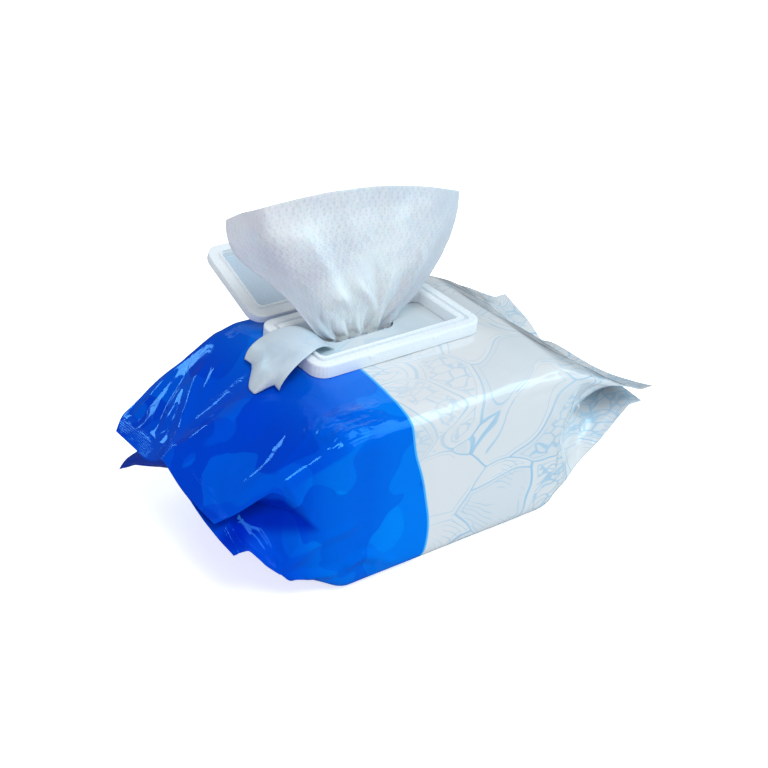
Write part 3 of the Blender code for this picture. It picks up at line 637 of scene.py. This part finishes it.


class Shader:
    """Builds a node material with few words."""

    def __init__(self, name):
        self.material = bpy.data.materials.new(name)
        self.material.use_nodes = True
        self.nodes = self.material.node_tree.nodes
        self.links = self.material.node_tree.links
        self.shader = self.nodes["Principled BSDF"]
        self.places = self.nodes.new("ShaderNodeTexCoord").outputs
        self.place = self.places["Object"]

    def set(self, **values):
        for name, value in values.items():
            self.shader.inputs[name.replace("_", " ")].default_value = value

    def join(self, output, target):
        self.links.new(output, target)

    def feed(self, name, output):
        self.join(output, self.shader.inputs[name])

    def math(self, operation, a, b=0.0, c=0.0):
        node = self.nodes.new("ShaderNodeMath")
        node.operation = operation
        for socket, value in zip(node.inputs, (a, b, c)):
            if isinstance(value, (int, float)):
                socket.default_value = value
            else:
                self.join(value, socket)
        return node.outputs[0]

    def times(self, product, *factors):
        for factor in factors:
            product = self.math("MULTIPLY", product, factor)
        return product

    def noise(self, scale, detail=3.0, rough=0.5, vector=None, distortion=0.0, output="Fac"):
        node = self.nodes.new("ShaderNodeTexNoise")
        node.inputs["Scale"].default_value = scale
        node.inputs["Detail"].default_value = detail
        node.inputs["Roughness"].default_value = rough
        node.inputs["Distortion"].default_value = distortion
        self.join(vector or self.place, node.inputs["Vector"])
        return node.outputs[output]

    def cells(self, scale, vector, feature="DISTANCE_TO_EDGE", output="Distance"):
        node = self.nodes.new("ShaderNodeTexVoronoi")
        node.feature = feature
        node.inputs["Scale"].default_value = scale
        self.join(vector, node.inputs["Vector"])
        return node.outputs[output]

    def warped(self, scale, strength):
        """The place, moved about by a soft noise, so that straight lines flow."""
        node = self.nodes.new("ShaderNodeVectorMath")
        node.operation = "MULTIPLY_ADD"
        self.join(self.noise(scale, 1.5, 0.5, output="Color"), node.inputs[0])
        node.inputs[1].default_value = (strength, strength, strength)
        self.join(self.place, node.inputs[2])
        return node.outputs[0]

    def step(self, value, low, high, start=0.0, stop=1.0):
        node = self.nodes.new("ShaderNodeMapRange")
        node.interpolation_type = "SMOOTHSTEP"
        for name, number in (("From Min", low), ("From Max", high), ("To Min", start), ("To Max", stop)):
            node.inputs[name].default_value = number
        self.join(value, node.inputs["Value"])
        return node.outputs["Result"]

    def blend(self, share, a, b):
        node = self.nodes.new("ShaderNodeMix")
        node.data_type = "RGBA"
        self.join(share, node.inputs["Factor"])
        for name, value in (("A", a), ("B", b)):
            socket = [s for s in node.inputs if s.name == name and s.type == "RGBA"][0]
            if isinstance(value, tuple):
                socket.default_value = (*value, 1)
            else:
                self.join(value, socket)
        return [s for s in node.outputs if s.type == "RGBA"][0]

    def split(self, vector=None):
        node = self.nodes.new("ShaderNodeSeparateXYZ")
        self.join(vector or self.place, node.inputs[0])
        return node.outputs

    def scaled(self, scale, vector=None):
        node = self.nodes.new("ShaderNodeMapping")
        node.inputs["Scale"].default_value = scale
        self.join(vector or self.place, node.inputs["Vector"])
        return node.outputs["Vector"]

    def bump(self, height, strength, distance, normal=None):
        node = self.nodes.new("ShaderNodeBump")
        node.inputs["Strength"].default_value = strength
        node.inputs["Distance"].default_value = distance
        self.join(height, node.inputs["Height"])
        if normal:
            self.join(normal, node.inputs["Normal"])
        return node.outputs["Normal"]


def print_edge(m, x, z):
    """How far beyond the border between the two printed halves a point lies."""
    curve = m.nodes.new("ShaderNodeFloatCurve")
    line = curve.mapping.curves[0]
    for i, (height, reach) in enumerate(PRINT_EDGE):
        if i < 2:
            line.points[i].location = (height, reach)
        else:
            line.points.new(height, reach)
    curve.mapping.update()
    m.join(m.times(z, 1 / EDGE_RISE), curve.inputs["Value"])
    edge = m.math("MULTIPLY_ADD", curve.outputs[0], EDGE_SPAN, EDGE_START)
    return m.math("SUBTRACT", x, edge)


def line_art(m):
    """Generic flowing line work on white: long outlined cells, some filled with fine lines."""
    flow = m.scaled((0.6, 1.5, 1.1), m.warped(13, 0.09))
    large = m.cells(24, flow)
    kept = m.noise(24, 1.0)
    bold = m.times(m.step(large, 0.009, 0.019, 1, 0), m.step(kept, 0.42, 0.46))
    inner = m.math("ABSOLUTE", m.math("SUBTRACT", large, m.math("MULTIPLY_ADD", kept, 0.12, 0.01)))
    inner = m.times(m.step(inner, 0.003, 0.009, 1, 0), m.step(kept, 0.58, 0.62, 1, 0))
    pick = m.split(m.cells(24, flow, "F1", "Color"))
    fine_flow = m.warped(34, 0.02)
    fine = m.step(m.cells(120, m.scaled((0.7, 2.0, 1.6), fine_flow)), 0.03, 0.10, 1, 0)
    filled = m.times(m.step(pick[0], 0.42, 0.43), m.step(large, 0.085, 0.10))
    fx, fy, fz = m.split(fine_flow)
    across = m.math("ADD", fx, m.math("ADD", fy, m.times(fz, 1.6)))
    strokes = m.step(m.math("SINE", m.times(across, 2 * pi / STROKE_PITCH)), 0.82, 0.96)
    broken = m.step(m.noise(55, 1.0), 0.46, 0.52)
    stroked = m.times(m.step(pick[1], 0.60, 0.61), m.step(large, 0.03, 0.04), broken)
    tinted = m.times(m.step(pick[2], 0.6, 0.61), m.step(large, 0.02, 0.03, 0, 0.4))
    white = m.blend(tinted, WHITE_PRINT, TINTED_PRINT)
    drawn = m.math("MAXIMUM", m.times(bold, 0.9), m.times(inner, 0.7))
    drawn = m.math("MAXIMUM", drawn, m.times(fine, filled, 0.7))
    drawn = m.math("MAXIMUM", drawn, m.times(strokes, stroked, 0.6))
    faded = m.step(m.noise(16, 2.0), 0.3, 0.62, 0.35, 0.95)
    return m.blend(m.times(drawn, faded), white, LINE_BLUE)


def blotches(m):
    """Large low-contrast blotches of blue, paler towards the white half and, partly as painted light, on
    the left end's front wall; painted shade, a dark navy, in the end's hollow.
    """
    first = m.noise(17, 1.5, 0.5, distortion=0.3)
    second = m.noise(24, 1.5, 0.5, m.scaled((1, 1.2, 1.3)), 0.4)
    x, y, z = m.split()
    # The left end's front wall below its top edge is paler: partly print, partly painted light of the lit
    # wall against the shaded slope
    wall = m.times(m.step(y, -56 * MM, -50 * MM, 1, 0), m.step(x, -104 * MM, -72 * MM, 0, 0.75))
    wall = m.times(wall, m.step(m.math("MULTIPLY_ADD", x, -0.55, z), 119 * MM, 123 * MM, 1, 0))
    pale_print_and_lit_wall = m.math("MAXIMUM", m.step(x, -95 * MM, -35 * MM), wall)
    base = m.blend(pale_print_and_lit_wall, *BLUE)
    darker = m.blend(pale_print_and_lit_wall, *DARKER_BLUE)
    paler = m.blend(pale_print_and_lit_wall, *PALER_BLUE)
    blue = m.blend(m.step(first, 0.54, 0.553), base, paler)
    blue = m.blend(m.step(second, 0.52, 0.533), blue, darker)
    # Painted shade: a dark navy in the left end's gusset hollow
    aside = m.math("MULTIPLY_ADD", z, 0.89, x)
    hollow = m.times(m.step(aside, -49 * MM, -45 * MM, 1, 0), m.step(y, -40 * MM, -36 * MM, 1, 0))
    below = m.math("MULTIPLY_ADD", x, -0.42, z)
    hollow = m.times(hollow, m.step(below, 100 * MM, 106 * MM, 1, 0), m.step(z, 38 * MM, 46 * MM))
    return m.blend(m.times(hollow, 0.85), blue, HOLLOW_PAINTED_SHADE)


def corner_crinkles(m, x, y, z):
    """Small sharp crinkles where the left end pulls on the top's front corner."""
    along_x = m.times(m.step(x, -86 * MM, -74 * MM), m.step(x, -52 * MM, -34 * MM, 1, 0))
    along_y = m.times(m.step(y, -57 * MM, -53 * MM), m.step(y, -44 * MM, -36 * MM, 1, 0))
    crinkles = m.noise(150, 1.5, 0.5, m.scaled((0.7, 1.4, 1)))
    return m.times(along_x, along_y, m.step(z, 80 * MM, 84 * MM), crinkles)


def film_material():
    """Glossy printed film: blue blotches at one end, pale line work on white at the other."""
    m = Shader("printed_film")
    m.set(IOR=1.5)
    x, y, z = m.split()
    beyond = print_edge(m, x, z)
    window_x = m.math("ABSOLUTE", m.math("SUBTRACT", x, FRAME_X))
    window_y = m.math("ABSOLUTE", m.math("SUBTRACT", y, FRAME_Y))
    in_x = m.math("LESS_THAN", window_x, FRAME_LENGTH / 2 - FRAME_BORDER + WINDOW_MARGIN)
    in_y = m.math("LESS_THAN", window_y, FRAME_WIDTH / 2 - FRAME_BORDER + WINDOW_MARGIN)
    window = m.times(in_x, in_y, m.math("GREATER_THAN", z, EDGE_HEIGHT))
    white_share = m.math("MAXIMUM", m.step(beyond, -0.2 * MM, 0.2 * MM), window)
    fringe = m.times(m.step(beyond, -1.3 * MM, -0.9 * MM), m.step(beyond, 0.3 * MM, 0.6 * MM, 1, 0))
    # Painted shade: the film in the frame's window greys towards teal, most at its left, as under the
    # frame and label
    tint = m.times(window, m.step(x, -36 * MM, -20 * MM, 0.8, 0.35))
    white = m.blend(tint, line_art(m), WINDOW_PAINTED_SHADE)
    colour = m.blend(white_share, blotches(m), white)
    fringe = m.times(fringe, m.math("SUBTRACT", 1, window), 0.6)
    m.feed("Base Color", m.blend(fringe, colour, FRINGE_BLUE))
    m.feed("Specular Tint", m.blend(white_share, GLOSS_ON_BLUE, GLOSS_ON_WHITE))
    between_fins = (RIGHT_END["reach"] - LEFT_END["reach"]) / 2
    fin_start = BLOCK_HALF + (RIGHT_END["reach"] + LEFT_END["reach"]) / 2 - FIN_WIDTH
    far = m.math("ABSOLUTE", m.math("ADD", x, -between_fins))
    in_fin = m.step(far, fin_start + 0.05 * MM, fin_start + 0.65 * MM)
    crimps = m.times(m.math("SINE", m.times(x, 2 * pi / CRIMP_PITCH)), in_fin)
    pressed = m.bump(crimps, 0.5, 0.12 * MM)
    crinkle = m.bump(m.noise(55, 2.0, 0.5), 0.08, 0.5 * MM, pressed)
    stretched = m.noise(40, 2.0, 0.5, m.scaled((1, 1.5, 1.5)), 0.4)
    creases = m.math("ABSOLUTE", m.math("SUBTRACT", stretched, 0.5))
    crinkle = m.bump(m.step(creases, 0.0, 0.03, 1, 0), 0.09, 0.35 * MM, crinkle)
    m.feed("Normal", m.bump(corner_crinkles(m, x, y, z), 0.7, 3.2 * MM, crinkle))
    m.feed("Roughness", m.step(m.noise(260, 2.0), 0.3, 0.8, 0.055, 0.10))
    return m.material


def moulding_material(name, colour, recess=None):
    """White moulded polypropylene with a satin texture; the lid's thin inner panel gets painted shade."""
    m = Shader(name)
    m.set(IOR=1.49, Subsurface_Weight=0.15, Subsurface_Scale=0.004)
    m.shader.inputs["Subsurface Radius"].default_value = (1, 1, 1)
    plain = m.blend(m.step(m.noise(45, 3.0), 0.3, 0.7), colour, tuple(c * 0.975 for c in colour))
    if recess:
        # Painted shade on the lid's inner panel, where the wipe shades it
        _, y, z = m.split()
        level = m.math("MULTIPLY_ADD", z, cos(LID_LEAN), m.times(y, -sin(LID_LEAN)))
        inside = m.step(m.split(m.places["Normal"])[2], 0.4, 0.6)
        inside = m.times(inside, m.step(level, LID_FLOOR, LID_EDGE, 1, 0))
        plain = m.blend(inside, plain, recess)
    m.feed("Base Color", plain)
    m.feed("Roughness", m.step(m.noise(900, 2.0), 0.3, 0.7, 0.26, 0.38))
    m.feed("Normal", m.bump(m.noise(2600, 2.0), 0.1, 0.05 * MM))
    return m.material


def cloth_look(m, dots, fibres, damp_and_shade, colour, shade):
    """The common look of the wipes: embossed dots over a fibrous, slightly wet-looking ground, greyed
    further by painted shade on the pulled wipe.
    """
    m.set(Roughness=0.85, Sheen_Weight=0.2, Sheen_Roughness=0.6)
    m.set(Subsurface_Weight=0.3, Subsurface_Scale=0.003)
    tone = m.math("MULTIPLY_ADD", dots, 0.16, m.times(fibres, 0.35))
    tone = m.math("MULTIPLY_ADD", damp_and_shade, 0.5, tone)
    m.feed("Base Color", m.blend(m.step(tone, 0.32, 0.75), colour, shade))
    m.feed("Normal", m.bump(fibres, 0.3, 0.2 * MM, m.bump(dots, 0.6, 0.3 * MM)))
    return m.material


def wipe_material():
    """The pulled wipe: staggered dots that follow the sheet, with painted shade towards its sides and top.
    """
    m = Shader("wipe_cloth")
    u, v, _ = m.split(m.places["UV"])
    across = m.times(u, SHEET_WIDTH / DOT_PITCH * pi)
    up = m.times(v, SHEET_OUT / DOT_PITCH * pi)
    sway = m.times(m.noise(90, 2.0), 4.5)
    rows = m.math("SINE", m.math("ADD", up, sway))
    odd = m.math("SINE", m.math("MULTIPLY_ADD", up, 0.5, m.times(sway, 0.5)))
    columns = m.math("SINE", m.math("ADD", across, m.times(m.math("SIGN", odd), pi / 2)))
    dots = m.times(m.step(m.times(m.math("ABSOLUTE", rows), columns), 0.1, 0.9), 0.45)
    fibres = m.noise(620, 4.0, 0.7, m.scaled((1, 1, 0.45)))
    # Painted shade: greyer towards the wipe's sides and top edge, where it turns from the light
    sides = m.math("MAXIMUM", m.step(u, 0.06, 0.24, 0.8, 0), m.step(u, 0.68, 0.95, 0, 0.6))
    rim = m.math("MAXIMUM", sides, m.step(v, 0.82, 1.0, 0, 0.35))
    damp_and_shade = m.math("ADD", rim, m.noise(30, 2.0, 0.5))
    return cloth_look(m, dots, fibres, damp_and_shade, WIPE_WHITE, WIPE_SHADE)


def stack_material():
    """The block: the same dots from above, thin plies from the sides."""
    m = Shader("folded_wipes")
    x, y, _ = m.split()
    rows = m.math("SINE", m.times(y, 2 * pi / DOT_PITCH))
    columns = m.math("SINE", m.times(x, 2 * pi / DOT_PITCH))
    dots = m.step(m.times(rows, columns), 0.1, 0.9)
    plies = m.noise(500, 3.0, 0.7, m.scaled((0.1, 0.1, 2.5)))
    return cloth_look(m, dots, plies, m.noise(30, 2.0, 0.5), STACK_WHITE, STACK_SHADE)


def label_material():
    """The label's underside: satin film with faint blotches of adhesive."""
    m = Shader("label_underside")
    m.set(IOR=1.47, Coat_Weight=0.15)
    dull = m.noise(70, 4.0, 0.65, distortion=0.5)
    m.feed("Base Color", m.blend(m.step(dull, 0.38, 0.68), LABEL_PALE, LABEL_DULL))
    m.feed("Roughness", m.step(dull, 0.3, 0.7, 0.3, 0.5))
    m.feed("Normal", m.bump(m.noise(160, 3.0), 0.15, 0.15 * MM))
    return m.material


def paint(item, material):
    item.data.materials.clear()
    item.data.materials.append(material)


# The pieces

pouch = film_pouch()
paint(pouch, film_material())
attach(pouch, "pack")
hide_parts("film_pouch")

wipe = pulled_wipe()
paint(wipe, wipe_material())
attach(wipe, "pack")
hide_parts("pulled_wipe")

label = peel_label()
paint(label, label_material())
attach(label, "pack")
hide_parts("peel_label")

looks = {
    "lid_frame": moulding_material("frame_moulding", FRAME_WHITE),
    "flip_lid": moulding_material("lid_moulding", LID_WHITE, LID_PANEL_SHADE),
    "wipe_stack": stack_material(),
}
for node, look in looks.items():
    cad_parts[node].material_slots[0].link = "OBJECT"
    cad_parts[node].material_slots[0].material = look

for piece in (wipe, label):
    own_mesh(piece)


# Floor, light and camera

FLOOR_WHITE = (0.9, 0.9, 0.9)
FLOOR_SIZE, FLOOR_DROP = 12, 0.2 * MM
FLOOR_GLOW, FLOOR_BOUNCE = 0.68, 0.12  # the share of its glow that lights the pack
FLOOR_IN_GLOSS = (0.05, 0.06, 0.08)
SKY_COLOUR = (0.95, 0.97, 1)
SKY_LIGHT, SKY_IN_GLOSS = 0.5, 0.08
LIT_POINT = Vector((0, 0, 0.06))

# Softboxes: direction, distance, size, power, colour
LAMPS = {
    "key": ((-0.3, -0.46, 0.84), 1.2, (0.4, 0.4), 6.3, (1, 1, 1)),
    "front_right": ((0.565, -0.5, 0.65), 1.0, (0.42, 0.36), 2.4, (0.5, 0.85, 1)),
    "front_low": ((0.58, -0.72, 0.34), 1.0, (0.34, 0.34), 1.4, (0.5, 0.85, 1)),
    "back_left": ((-0.26, 0.81, 0.47), 1.1, (0.22, 0.22), 1.2, (0.35, 0.8, 1)),
    "right": ((0.97, -0.1, 0.25), 1.0, (0.12, 0.5), 0.8, (1, 1, 1)),
}

# The photograph's camera, solved from the pack's edges in it
CAMERA_AT = (-0.46695, -0.53810, 0.48426)
AZIMUTH, ELEVATION, ROLL = radians(-40.85), radians(30.28), radians(6.19)
LENS, SENSOR = 73.14, 36


def white_surface(name, glow):
    """White to the camera, faintly glowing to the pack, and dark in glossy reflections."""
    made = bpy.data.materials.new(name)
    made.use_nodes = True
    nodes, links = made.node_tree.nodes, made.node_tree.links
    shader = nodes["Principled BSDF"]
    shader.inputs["Base Color"].default_value = (*FLOOR_WHITE, 1)
    shader.inputs["Roughness"].default_value = 1
    shader.inputs["Specular IOR Level"].default_value = 0
    light = nodes.new("ShaderNodeEmission")
    path = nodes.new("ShaderNodeLightPath")
    level = nodes.new("ShaderNodeMath")
    level.operation = "MULTIPLY"
    level.inputs[1].default_value = glow
    bounce = nodes.new("ShaderNodeMath")
    bounce.operation = "MULTIPLY_ADD"
    bounce.inputs[1].default_value = FLOOR_BOUNCE
    links.new(path.outputs["Is Diffuse Ray"], bounce.inputs[0])
    links.new(path.outputs["Is Camera Ray"], bounce.inputs[2])
    links.new(bounce.outputs[0], level.inputs[0])
    links.new(level.outputs[0], light.inputs["Strength"])
    both = nodes.new("ShaderNodeAddShader")
    links.new(shader.outputs[0], both.inputs[0])
    links.new(light.outputs[0], both.inputs[1])
    dark = nodes.new("ShaderNodeEmission")
    dark.inputs["Color"].default_value = (*FLOOR_IN_GLOSS, 1)
    seen = nodes.new("ShaderNodeMixShader")
    links.new(path.outputs["Is Glossy Ray"], seen.inputs[0])
    links.new(both.outputs[0], seen.inputs[1])
    links.new(dark.outputs[0], seen.inputs[2])
    links.new(seen.outputs[0], nodes["Material Output"].inputs["Surface"])
    return made


def lamp(name, direction, distance, size, power, colour):
    """A softbox that shines from the given direction at the middle of the pack."""
    light = bpy.data.lights.new(name, "AREA")
    light.shape = "RECTANGLE"
    light.size, light.size_y = size
    light.energy = power
    light.color = colour
    item = link(bpy.data.objects.new(name, light))
    item.location = LIT_POINT + Vector(direction).normalized() * distance
    item.rotation_euler = (LIT_POINT - item.location).to_track_quat("-Z", "Y").to_euler()


def world_light():
    """A pale sky that the film reflects only dimly, and white behind the pack."""
    world = bpy.data.worlds.new("studio")
    bpy.context.scene.world = world
    world.use_nodes = True
    nodes, links = world.node_tree.nodes, world.node_tree.links
    sky = nodes["Background"]
    sky.inputs["Color"].default_value = (*SKY_COLOUR, 1)
    path = nodes.new("ShaderNodeLightPath")
    level = nodes.new("ShaderNodeMapRange")
    level.inputs["To Min"].default_value = SKY_LIGHT
    level.inputs["To Max"].default_value = SKY_IN_GLOSS
    links.new(path.outputs["Is Glossy Ray"], level.inputs["Value"])
    links.new(level.outputs["Result"], sky.inputs["Strength"])
    backdrop = nodes.new("ShaderNodeBackground")
    backdrop.inputs["Color"].default_value = (1, 1, 1, 1)
    either = nodes.new("ShaderNodeMixShader")
    links.new(path.outputs["Is Camera Ray"], either.inputs[0])
    links.new(sky.outputs[0], either.inputs[1])
    links.new(backdrop.outputs[0], either.inputs[2])
    links.new(either.outputs[0], nodes["World Output"].inputs["Surface"])


def photo_camera():
    """A camera at the photograph's angle."""
    data = bpy.data.cameras.new("camera")
    data.sensor_width = SENSOR
    data.lens = LENS
    data.clip_start = 0.05
    camera = link(bpy.data.objects.new("camera", data))
    level = cos(ELEVATION)
    back = Vector((sin(AZIMUTH) * level, -cos(AZIMUTH) * level, sin(ELEVATION)))
    right = (-back).cross(Vector((0, 0, 1))).normalized()
    up = right.cross(-back)
    turned_right = right * cos(ROLL) + up * sin(ROLL)
    turned_up = up * cos(ROLL) - right * sin(ROLL)
    turn = Matrix((turned_right, turned_up, back)).transposed().to_4x4()
    camera.matrix_world = Matrix.Translation(CAMERA_AT) @ turn
    bpy.context.scene.camera = camera


floor_mesh = bpy.data.meshes.new("floor")
half = FLOOR_SIZE / 2
corners = [(x, y, -FLOOR_DROP) for x, y in ((-half, -half), (half, -half), (half, half), (-half, half))]
floor_mesh.from_pydata(corners, [], [(0, 1, 2, 3)])
floor = link(bpy.data.objects.new("floor", floor_mesh))
floor_mesh.materials.append(white_surface("floor_white", FLOOR_GLOW))

for name, setting in LAMPS.items():
    lamp(name, *setting)
world_light()
photo_camera()
bpy.context.scene.view_settings.view_transform = "Standard"
